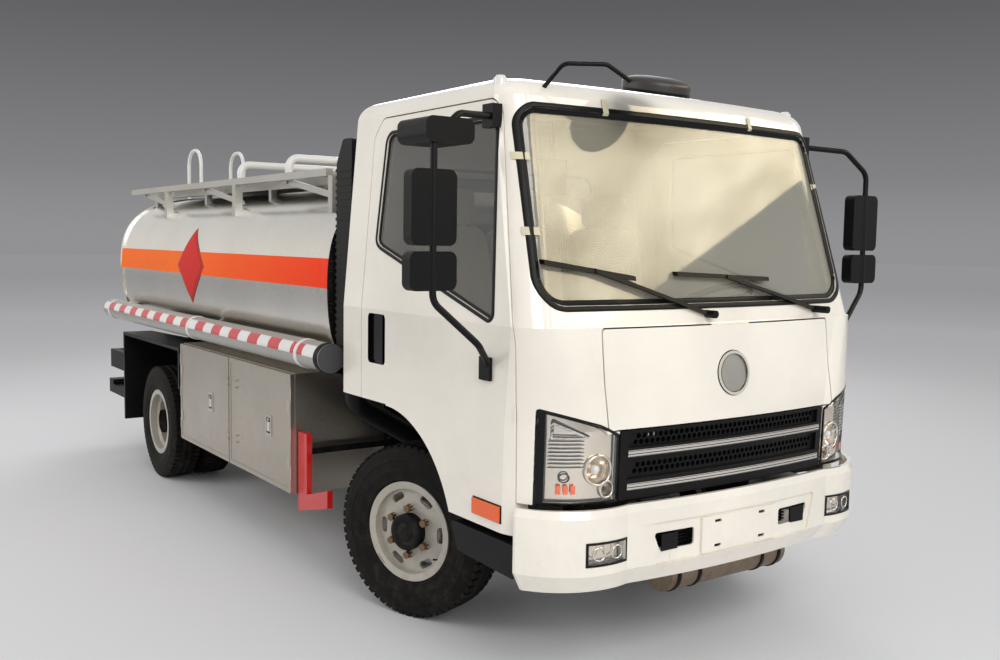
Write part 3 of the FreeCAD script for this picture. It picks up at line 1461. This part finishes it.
def build_cabinet():
    """Hollow cabinet on two arms, and the doors hinged on its outer edges."""
    outline = [(-cabinet_body_x, cabinet_low_z), (-cabinet_body_x, cabinet_top_z),
               (-cabinet_shoulder_x, cabinet_top_z), (-cabinet_inner_x, cabinet_inner_top_z),
               (-cabinet_inner_x, cabinet_low_z)]
    room_top = cabinet_top_z - cabinet_frame
    room_low = cabinet_low_z + cabinet_frame
    room_inner = -cabinet_inner_x - cabinet_wall
    room = [(-cabinet_body_x - overrun, room_low), (-cabinet_body_x - overrun, room_top),
            (-cabinet_shoulder_x, room_top), (room_inner, cabinet_inner_top_z - cabinet_frame),
            (room_inner, room_low)]
    shell = prism_y(outline, cabinet_front_y, cabinet_rear_y).cut(
        prism_y(room, cabinet_front_y + cabinet_frame, cabinet_rear_y - cabinet_frame))
    arms = [box(-cabinet_inner_x - lap, -rail_outer_x - seat_gap, y - cabinet_arm_half, y + cabinet_arm_half,
                bracket_low_z, bracket_high_z)
            for y in (cabinet_front_y + cabinet_arm_inset, cabinet_rear_y - cabinet_arm_inset)]
    save("side_cabinet", fused([shell] + arms))

    middle = (cabinet_front_y + cabinet_rear_y) / 2
    low_z = cabinet_low_z + cabinet_door_inset
    high_z = cabinet_top_z - cabinet_door_inset
    pitch = (high_z - low_z) / cabinet_hinge_count
    for name, hinge_y, free_y in (("front", cabinet_front_y + cabinet_door_inset, middle - seam / 2),
                                  ("rear", cabinet_rear_y - cabinet_door_inset, middle + seam / 2)):
        pieces = [box(-cabinet_face_x, -cabinet_body_x - seat_gap, hinge_y, free_y, low_z, high_z)]
        for index in range(cabinet_hinge_count):
            pieces.append(cylinder((-cabinet_face_x, hinge_y, low_z + pitch * (index + 0.5)), (0, 0, 1),
                                   cabinet_hinge_radius, cabinet_hinge_length))
        save("cabinet_door_" + name, fused(pieces))


# Hose tubes along the tank's flanks

hose_tube_x = 1000.0
hose_tube_z = 1142.0
hose_tube_radius = 72.0
hose_tube_front_y = 484.0
hose_tube_rear_y = 4460.0
hose_strap_stations = (747.0, 2417.0, 4302.0)
hose_strap_width = 30.0
hose_strap_rise = 4.0
hose_foot_inner_x = 840.0
hose_foot_outer_x = 950.0
hose_foot_half = 20.0


def build_hose_tubes():
    """Long hose tubes with straps, on feet that stand on the tank."""
    keepout = tank_keepout()
    middle = (hose_tube_front_y + hose_tube_rear_y) / 2
    tubes = []
    for side in (-1, 1):
        x = side * hose_tube_x
        pieces = [cylinder((x, middle, hose_tube_z), (0, 1, 0), hose_tube_radius,
                           hose_tube_rear_y - hose_tube_front_y)]
        for y in hose_strap_stations:
            pieces.append(cylinder((x, y, hose_tube_z), (0, 1, 0), hose_tube_radius + hose_strap_rise,
                                   hose_strap_width))
            foot = box(side * hose_foot_inner_x, side * hose_foot_outer_x, y - hose_strap_width / 2,
                       y + hose_strap_width / 2, hose_tube_z - hose_foot_half, hose_tube_z + hose_foot_half)
            pieces.append(foot.cut(keepout))
        tubes.append(fused(pieces))
    save("hose_tubes", *tubes)


# Fuel tank, battery box, mudguards, steps, guards and the rear bumper

fuel_front_y = 1010.0
fuel_rear_y = 1760.0
fuel_low_z = 430.0
fuel_high_z = 860.0
fuel_inner_x = 480.0
fuel_outer_x = 960.0
fuel_radius = 70.0
fuel_strap_stations = (1180.0, 1590.0)
battery_front_y = 1900.0
battery_rear_y = 2480.0
battery_low_z = 440.0
battery_high_z = 800.0
battery_outer_x = 900.0
bracket_half = 30.0
bracket_lap = 30.0
guard_front_end_y = 2760.0
guard_rear_end_y = 4110.0
guard_wall = 25.0
guard_roof_wall = 22.0
guard_inner_x = 476.0
guard_shoulder_x = 800.0
guard_outer_x = 1015.0
guard_top_z = 980.0
guard_inner_top_z = 905.0
guard_skirt_z = 700.0
guard_flap_z = 300.0
guard_arm_low_z = 640.0
guard_arm_high_z = 720.0
step_front_y = -994.0
step_top_rear_y = -545.0
step_low_rear_y = -600.0
step_low_z = 455.0
step_low_rear_z = 470.0
step_high_z = 585.0
step_inner_x = 760.0
step_outer_x = 962.0
step_radius = 15.0
step_arm_y = -760.0
step_arm_height = 35.0
red_outer_x = 985.0
red_inner_x = 955.0
red_foot_y = 557.0
red_foot_low_z = 380.0
red_foot_high_z = 470.0
red_knee_z = 400.0
red_post_front_y = 800.0
red_post_rear_y = 905.0
red_post_low_z = 292.0
red_post_high_z = 716.0
red_strip_front_y = 2716.0
red_strip_rear_y = 2752.0
red_strip_low_z = 389.0
red_strip_high_z = 733.0
red_arm_half = 14.0
under_bar_half_width = 960.0
under_bar_front_y = 4640.0
under_bar_low_z = 430.0
under_bar_high_z = 540.0
under_side_high_z = 500.0
bar_side_front_y = 4125.0
bar_side_width = 60.0
lamp_bar_front_y = 4650.0
lamp_bar_rear_y = 4700.0
lamp_bar_low_z = 646.0
lamp_bar_high_z = 790.0
rear_lamp_inner_x = 640.0
rear_lamp_outer_x = 940.0
rear_lamp_margin = 12.0
rear_lamp_depth = 30.0


def build_left_boxes():
    """Fuel tank and battery box on the left side, with their arms on the rail."""
    fuel = prism_x([(fuel_front_y, fuel_low_z), (fuel_rear_y, fuel_low_z), (fuel_rear_y, fuel_high_z),
                    (fuel_front_y, fuel_high_z)], fuel_inner_x, fuel_outer_x, fuel_radius)
    arms = [box(rail_outer_x + seat_gap, fuel_inner_x + bracket_lap, y - bracket_half, y + bracket_half,
                bracket_low_z, bracket_high_z) for y in fuel_strap_stations]
    save("fuel_tank", fused([fuel] + arms))
    battery = box(fuel_inner_x, battery_outer_x, battery_front_y, battery_rear_y, battery_low_z, battery_high_z)
    middle = (battery_front_y + battery_rear_y) / 2
    arm = box(rail_outer_x + seat_gap, fuel_inner_x + bracket_lap, middle - 2 * bracket_half,
              middle + 2 * bracket_half, bracket_low_z, bracket_high_z)
    save("battery_box", fused([battery, arm]))


def build_mudguards():
    """Rear mudguards: a sloped top, a short skirt in front and a long flap behind, on arms."""
    slope = (guard_top_z - guard_inner_top_z) / (guard_shoulder_x - guard_inner_x)
    room_inner_z = guard_inner_top_z - guard_roof_wall - slope * overrun
    room_top = guard_top_z - guard_roof_wall
    guards = []
    for side in (-1, 1):
        outline = [(side * guard_inner_x, guard_flap_z), (side * guard_outer_x, guard_flap_z),
                   (side * guard_outer_x, guard_top_z), (side * guard_shoulder_x, guard_top_z),
                   (side * guard_inner_x, guard_inner_top_z)]
        room = [(side * (guard_inner_x - overrun), guard_flap_z - overrun),
                (side * (guard_outer_x + overrun), guard_flap_z - overrun),
                (side * (guard_outer_x + overrun), room_top), (side * guard_shoulder_x, room_top),
                (side * (guard_inner_x - overrun), room_inner_z)]
        shell = prism_y(outline, guard_front_end_y, guard_rear_end_y)
        below_skirt = box(side * (guard_inner_x - overrun), side * (guard_outer_x + overrun),
                          guard_front_end_y - overrun, guard_front_end_y + 2 * guard_wall, 0, guard_skirt_z)
        shell = shell.cut([prism_y(room, guard_front_end_y + guard_wall, guard_rear_end_y - guard_wall),
                           below_skirt])
        arms = [box(side * (rail_outer_x + seat_gap), side * (guard_inner_x + bracket_lap), y0, y1,
                    guard_arm_low_z, guard_arm_high_z)
                for y0, y1 in ((guard_front_end_y, guard_front_end_y + 2 * bracket_half),
                               (guard_rear_end_y - 2 * bracket_half, guard_rear_end_y))]
        guards.append(fused([shell] + arms))
    save("rear_mudguards", *guards)


def build_side_gear():
    """Steps under the doors, and the red guards ahead of and behind the cabinet."""
    steps = []
    for side in (-1, 1):
        tread = prism_x([(step_front_y, step_low_z), (step_front_y, step_high_z), (step_top_rear_y, step_high_z),
                         (step_low_rear_y, step_low_rear_z)], side * step_inner_x, side * step_outer_x, step_radius)
        arm = box(side * (rail_outer_x + seat_gap), side * (step_inner_x + bracket_lap), step_arm_y - bracket_half,
                  step_arm_y + bracket_half, step_high_z - step_arm_height, step_high_z)
        steps.append(fused([tread, arm]))
    save("side_steps", *steps)

    bent = prism_x([(red_foot_y, red_foot_low_z), (red_post_rear_y, red_post_low_z),
                    (red_post_rear_y, red_post_high_z), (red_post_front_y, red_post_high_z),
                    (red_post_front_y, red_knee_z), (red_foot_y, red_foot_high_z)], -red_inner_x, -red_outer_x)
    strip = box(-red_inner_x, -red_outer_x, red_strip_front_y, red_strip_rear_y, red_strip_low_z, red_strip_high_z)
    guards = []
    for piece, y in ((bent, (red_post_front_y + red_post_rear_y) / 2),
                     (strip, (red_strip_front_y + red_strip_rear_y) / 2)):
        arm = box(-red_inner_x - lap, -rail_outer_x - seat_gap, y - red_arm_half, y + red_arm_half,
                  bracket_low_z, bracket_low_z + 2 * red_arm_half)
        guards.append(fused([piece, arm]))
    save("red_guards", *guards)


def build_rear_bumper():
    """Rear bumper and lamp bar with their side pieces, on two arms behind the rails."""
    half = under_bar_half_width
    pieces = [box(-half, half, under_bar_front_y, rear_end_y, under_bar_low_z, under_bar_high_z),
              box(-half, half, lamp_bar_front_y, lamp_bar_rear_y, lamp_bar_low_z, lamp_bar_high_z)]
    for side in (-1, 1):
        pieces.append(box(side * (rail_outer_x - rail_flange), side * rail_outer_x, rail_rear_y + seat_gap,
                          lamp_bar_rear_y, under_bar_low_z, guard_skirt_z))
        pieces.append(box(side * (half - bar_side_width), side * half, bar_side_front_y, lamp_bar_rear_y,
                          lamp_bar_low_z, lamp_bar_high_z))
        pieces.append(box(side * (half - bar_side_width), side * half, bar_side_front_y, lamp_bar_rear_y,
                          under_bar_low_z, under_side_high_z))
    save("rear_bumper", fused(pieces))
    return [box(side * rear_lamp_inner_x, side * rear_lamp_outer_x, lamp_bar_rear_y + seat_gap,
                lamp_bar_rear_y + rear_lamp_depth, lamp_bar_low_z + rear_lamp_margin,
                lamp_bar_high_z - rear_lamp_margin) for side in (-1, 1)]


# Front bumper, silencer and air intake

bumper_low_z = 420.0
bumper_top_z = 735.0
bumper_knee_low_z = 490.0
bumper_knee_high_z = 705.0
bumper_foot_inset = 34.0
bumper_brow_inset = 9.0
bumper_half_width = 975.0
bumper_wall = 16.0
bumper_back_y = -1000.0
bumper_corner_width = 385.0
bumper_corner_run = 190.0
bumper_bow = 36.0
bumper_arm_inner_x = 340.0
bumper_arm_front_y = -1218.0
bumper_arm_low_z = 500.0
fog_inner_x = 600.0
fog_outer_x = 772.0
fog_low_z = 534.0
fog_high_z = 608.0
fog_back_y = -1040.0
vent_inner_x = 252.0
vent_outer_x = 456.0
vent_outer_low_x = 426.0
vent_low_z = 540.0
vent_high_z = 610.0
board_half_width = 220.0
board_low_z = 498.0
board_high_z = 642.0
board_sunk = 1.0
board_slot_x = 130.0
board_slot_half = 19.0
board_slot_half_height = 6.0
board_slot_rise = 50.0
board_slot_depth = 8.0
tray_half_width = 500.0
tray_foot_half_width = 452.0
tray_low_z = 486.0
tray_high_z = 652.0
tray_depth = 9.0
tray_radius = 20.0
fog_frame_width = 9.0
fog_frame_proud = 3.0
vent_back_y = -1140.0
vent_radius = 12.0
silencer_x = 130.0
silencer_y = -1000.0
silencer_z = 360.0
silencer_radius = 84.0
silencer_length = 700.0
silencer_band_x = (-180.0, -60.0, 330.0, 440.0)
silencer_band_width = 16.0
silencer_band_rise = 5.0
silencer_hanger_x = (-145.0, 255.0)
silencer_hanger_half = 15.0
hanger_foot_front_y = -985.0
hanger_foot_back_y = -925.0
hanger_foot_z = 430.0
hanger_head_front_y = -785.0
hanger_head_back_y = -740.0
pipe_radius = 28.0
pipe_bend = 60.0
pipe_out_x = 560.0
pipe_rise_y = -820.0
pipe_rise_z = 430.0
pipe_end_x = 300.0
pipe_end_y = -640.0
pipe_end_z = 500.0
intake_front_y = 448.0
intake_rear_y = 610.0
intake_low_z = 1190.0
intake_shoulder_z = 2090.0
intake_high_z = 2205.0
intake_high_rear_y = 540.0
intake_outer_x = 910.0
intake_inner_x = 780.0
intake_radius = 18.0
intake_pipe_x = 840.0
intake_pipe_y = 530.0
intake_pipe_radius = 55.0
intake_pipe_bend = 90.0
intake_pipe_knee_z = 900.0
intake_pipe_end_x = 500.0
intake_pipe_end_z = 700.0
intake_arm_low_z = 662.0
intake_arm_high_z = 702.0


def bumper_solid(inset, back_y, overshoot):
    """Bumper as a solid, narrower at its foot and brow, moved in by an inset and stretched past both ends."""
    sections = (
        (bumper_low_z - overshoot, bumper_foot_inset), (bumper_low_z, bumper_foot_inset),
        (bumper_knee_low_z, 0), (bumper_knee_high_z, 0),
        (bumper_top_z, bumper_brow_inset), (bumper_top_z + overshoot, bumper_brow_inset),
    )
    if not overshoot:
        sections = sections[1:-1]
    wires = []
    for z, step in sections:
        corner = (bumper_corner_width, bumper_corner_run - inset - step, bumper_bow)
        wires.append(cab_section(z, bumper_half_width - inset - step, -front_overhang + inset + step, back_y, corner))
    return Part.makeLoft(wires, True, True)


def slots_in_board(front_y):
    """Four short slots where a plate is fastened."""
    middle_z = (board_low_z + board_high_z) / 2
    slots = []
    for x in (-board_slot_x, board_slot_x):
        for z in (middle_z - board_slot_rise, middle_z + board_slot_rise):
            slots.append(box(x - board_slot_half, x + board_slot_half, front_y - overrun, front_y + board_slot_depth,
                             z - board_slot_half_height, z + board_slot_half_height))
    return slots


def build_bumper():
    """Front bumper, an open shell with a sunk tray, a plate board and vents, on two arms; returns its fog lamps."""
    outer = bumper_solid(0, bumper_back_y, 0)
    inner = bumper_solid(bumper_wall, bumper_back_y + 2 * overrun, overrun)
    shell = outer.cut(inner)
    front_y = -front_overhang - overrun
    tray = prism_y([(-tray_foot_half_width, tray_low_z), (tray_foot_half_width, tray_low_z),
                    (tray_half_width, tray_high_z), (-tray_half_width, tray_high_z)], front_y, vent_back_y,
                   tray_radius)
    board_front_y = -front_overhang + board_sunk
    board = box(-board_half_width, board_half_width, board_front_y, -front_overhang + bumper_wall,
                board_low_z, board_high_z)
    fogs = []
    cuts = [tray.cut(bumper_solid(tray_depth, bumper_back_y, 0))]
    arms = []
    for side in (-1, 1):
        fogs.append(shell.common(box(side * (fog_inner_x + seat_gap), side * (fog_outer_x - seat_gap), front_y,
                                     fog_back_y, fog_low_z + seat_gap, fog_high_z - seat_gap)))
        cuts.append(box(side * fog_inner_x, side * fog_outer_x, front_y, fog_back_y, fog_low_z, fog_high_z))
        cuts.append(prism_y([(side * vent_inner_x, vent_low_z), (side * vent_outer_low_x, vent_low_z),
                             (side * vent_outer_x, vent_high_z), (side * vent_inner_x, vent_high_z)],
                            front_y, vent_back_y, vent_radius))
        arms.append(box(side * bumper_arm_inner_x, side * rail_outer_x, bumper_arm_front_y,
                        ear_front_y - seat_gap, bumper_arm_low_z, bumper_bracket_top_z))
    frames = []
    for side in (-1, 1):
        ring = box(side * (fog_inner_x - fog_frame_width), side * (fog_outer_x + fog_frame_width), front_y, fog_back_y,
                   fog_low_z - fog_frame_width, fog_high_z + fog_frame_width)
        hole = box(side * fog_inner_x, side * fog_outer_x, front_y, fog_back_y, fog_low_z, fog_high_z)
        layer = bumper_solid(-fog_frame_proud, bumper_back_y, 0).cut(bumper_solid(bumper_wall / 2, bumper_back_y, 0))
        frames.append(ring.cut(hole).common(layer))
    save("front_bumper", fused([shell.cut(cuts), board] + arms + frames).cut(slots_in_board(board_front_y)))
    return fogs


def build_exhaust():
    """Silencer across the front under the bumper, on two hangers, with its pipe."""
    drum = cylinder((silencer_x, silencer_y, silencer_z), (1, 0, 0), silencer_radius, silencer_length)
    end_x = silencer_x + silencer_length / 2
    pipe = bent_tube([(end_x - overrun, silencer_y, silencer_z), (pipe_out_x, silencer_y, silencer_z),
                      (pipe_out_x, pipe_rise_y, pipe_rise_z), (pipe_end_x, pipe_end_y, pipe_end_z)],
                     pipe_radius, pipe_bend)
    head_z = rail_top_z - rail_wall - cross_member_height - seat_gap
    hangers = [prism_x([(hanger_foot_front_y, hanger_foot_z), (hanger_foot_back_y, hanger_foot_z),
                        (hanger_head_back_y, head_z), (hanger_head_front_y, head_z)],
                       x - silencer_hanger_half, x + silencer_hanger_half) for x in silencer_hanger_x]
    bands = [cylinder((x, silencer_y, silencer_z), (1, 0, 0), silencer_radius + silencer_band_rise,
                      silencer_band_width) for x in silencer_band_x]
    save("exhaust", fused([drum, pipe] + hangers + bands))


def build_air_intake():
    """Tall intake duct behind the cab on the right, with its pipe and arm."""
    duct = prism_x([(intake_front_y, intake_low_z), (intake_rear_y, intake_low_z),
                    (intake_rear_y, intake_shoulder_z), (intake_high_rear_y, intake_high_z),
                    (intake_front_y, intake_high_z)], -intake_outer_x, -intake_inner_x, intake_radius)
    pipe = bent_tube([(-intake_pipe_x, intake_pipe_y, intake_low_z + intake_radius),
                      (-intake_pipe_x, intake_pipe_y, intake_pipe_knee_z),
                      (-intake_pipe_end_x, intake_pipe_y, intake_pipe_end_z)], intake_pipe_radius, intake_pipe_bend)
    arm = box(-intake_pipe_end_x - intake_radius, -rail_outer_x - seat_gap, intake_pipe_y - overrun,
              intake_pipe_y + overrun, intake_arm_low_z, intake_arm_high_z)
    save("air_intake", fused([duct, pipe, arm]))


# Mirrors and wipers

mirror_x = 1255.0
mirror_y = -870.0
mirror_tube_radius = 13.0
mirror_bend = 70.0
mirror_top_x = 905.0
mirror_top_y = -735.0
mirror_top_z = 2200.0
mirror_shoulder_x = 1130.0
mirror_shoulder_y = -838.0
mirror_shoulder_z = 2184.0
mirror_arm_high_z = 2080.0
mirror_arm_low_z = 1500.0
mirror_elbow_x = 1077.0
mirror_elbow_y = -905.0
mirror_elbow_z = 1340.0
mirror_foot_x = 950.0
mirror_foot_y = -800.0
mirror_foot_z = 1235.0
mirror_glass_front = 8.0
mirror_glass_back = 48.0
mirror_radius = 30.0
main_mirror = (1160.0, 1350.0, 1702.0, 1975.0)
wide_mirror = (1158.0, 1355.0, 1540.0, 1682.0)
kerb_mirror = (1095.0, 1300.0, 2068.0, 2160.0)
kerb_front = 20.0
kerb_back = 185.0
foot_half = 35.0
foot_half_height = 45.0
foot_reach = 30.0
foot_sunk = 15.0
wiper_depth = 22.0
wiper_arm_half = 8.0
blade_depth = 16.0
blade_half = 9.0
wiper_pivot_radius = 16.0
wiper_pivot_front_y = -1148.0
wiper_pivot_length = 110.0
wiper_pivot_z = 1440.0
right_wiper = (-85.0, -629.0, 1616.0, -440.0, 1585.0, -850.0, 1648.0)
left_wiper = (631.0, 60.0, 1590.0, 330.0, 1577.0, -220.0, 1602.0)
roof_arm_x = -700.0
roof_arm_foot_y = -760.0
roof_arm_foot_z = 2312.0
roof_arm_front_y = -900.0
roof_arm_high_z = 2400.0
roof_arm_mid_x = -560.0
roof_arm_mid_y = -990.0
roof_arm_end_x = -420.0
roof_arm_end_z = 2330.0
roof_arm_radius = 9.0
roof_arm_bend = 40.0
roof_mirror_x = -320.0
roof_mirror_y = -1010.0
roof_mirror_z = 2322.0
roof_mirror_radius = 135.0
roof_mirror_depth = 28.0
roof_mirror_tilt_share = 5.0


def mirror_head(side, place, front_y, back_y):
    """Mirror housing between two widths and two heights."""
    x0, x1, z0, z1 = place
    return prism_y(rectangle(min(side * x0, side * x1), max(side * x0, side * x1), z0, z1), front_y, back_y,
                   mirror_radius)


def build_mirrors():
    """Mirror arms on the doors, each with a main and a wide mirror, the right one also with a kerb mirror."""
    outside = cab_solid(-seat_gap)
    for side, name in ((-1, "right"), (1, "left")):
        arm = bent_tube([(side * mirror_top_x, mirror_top_y, mirror_top_z),
                         (side * mirror_shoulder_x, mirror_shoulder_y, mirror_shoulder_z),
                         (side * mirror_x, mirror_y, mirror_arm_high_z), (side * mirror_x, mirror_y, mirror_arm_low_z),
                         (side * mirror_elbow_x, mirror_elbow_y, mirror_elbow_z),
                         (side * mirror_foot_x, mirror_foot_y, mirror_foot_z)], mirror_tube_radius, mirror_bend)
        front_y = mirror_y - mirror_glass_front
        back_y = mirror_y + mirror_glass_back
        pieces = [arm, mirror_head(side, main_mirror, front_y, back_y), mirror_head(side, wide_mirror, front_y, back_y)]
        if side < 0:
            pieces.append(mirror_head(side, kerb_mirror, mirror_y - kerb_front, mirror_y + kerb_back))
        for x, y, z in ((mirror_top_x, mirror_top_y, mirror_top_z), (mirror_foot_x, mirror_foot_y, mirror_foot_z)):
            pieces.append(box(side * (x - foot_sunk), side * (x + foot_reach), y - foot_half, y + foot_half,
                              z - foot_half_height, z + foot_half_height))
        mirror = fused(pieces).cut(outside)
        save("mirrors_" + name, max(mirror.Solids, key=lambda one: one.Volume))


def build_cab_fittings():
    """Wipers that follow the windscreen, and the mirror on the roof's arm."""
    outside = cab_solid(-seat_gap)
    arm_layer = cab_solid(-wiper_depth).cut(outside)
    blade_layer = cab_solid(-blade_depth).cut(cab_solid(glass_depth - seat_gap))
    pieces = []
    for pivot_x, tip_x, tip_z, inner_x, inner_z, outer_x, outer_z in (right_wiper, left_wiper):
        pivot = Part.makeCylinder(wiper_pivot_radius, wiper_pivot_length,
                                  Vector(pivot_x, wiper_pivot_front_y, wiper_pivot_z), Vector(0, 1, 0))
        arm = prism_y([(pivot_x, wiper_pivot_z - wiper_arm_half), (tip_x, tip_z - wiper_arm_half),
                       (tip_x, tip_z + wiper_arm_half), (pivot_x, wiper_pivot_z + wiper_arm_half)],
                      wiper_pivot_front_y, cab_back_y)
        blade = prism_y([(inner_x, inner_z - blade_half), (outer_x, outer_z - blade_half),
                         (outer_x, outer_z + blade_half), (inner_x, inner_z + blade_half)],
                        wiper_pivot_front_y, -gutter_half_width)
        front = box(-cab_half_width, cab_half_width, wiper_pivot_front_y, -gutter_half_width,
                    wiper_pivot_z - overrun, cab_gutter_z)
        pieces.append(fused([pivot.cut(outside), arm.common(arm_layer).common(front),
                             blade.common(blade_layer)]))
    roof_arm = bent_tube([(roof_arm_x, roof_arm_foot_y, roof_arm_foot_z), (roof_arm_x, roof_arm_front_y, roof_arm_high_z),
                          (roof_arm_mid_x, roof_arm_mid_y, roof_arm_high_z),
                          (roof_arm_end_x, roof_mirror_y, roof_arm_end_z)], roof_arm_radius, roof_arm_bend)
    disc = cylinder((roof_mirror_x, roof_mirror_y, roof_mirror_z), (0, -1, roof_mirror_tilt_share),
                    roof_mirror_radius, roof_mirror_depth)
    pieces.append(fused([roof_arm, disc]).cut(cab_roof_body(-seat_gap, -seat_gap)))
    save("cab_fittings", *pieces)


def main():
    """Write every node."""
    os.makedirs("parts", exist_ok=True)
    build_cab()
    build_cab_floor()
    build_dashboard()
    build_seats()
    build_steering_wheel()
    build_front_wheels()
    build_rear_wheels()
    build_axles()
    build_frame()
    build_engine()
    build_tank()
    build_walkway()
    build_hoops()
    build_ladder()
    build_guard_rails()
    build_cabinet()
    build_hose_tubes()
    build_left_boxes()
    build_mudguards()
    build_side_gear()
    save("chassis_lamps", *build_rear_bumper(), *build_bumper())
    build_exhaust()
    build_air_intake()
    build_mirrors()
    build_cab_fittings()


main()
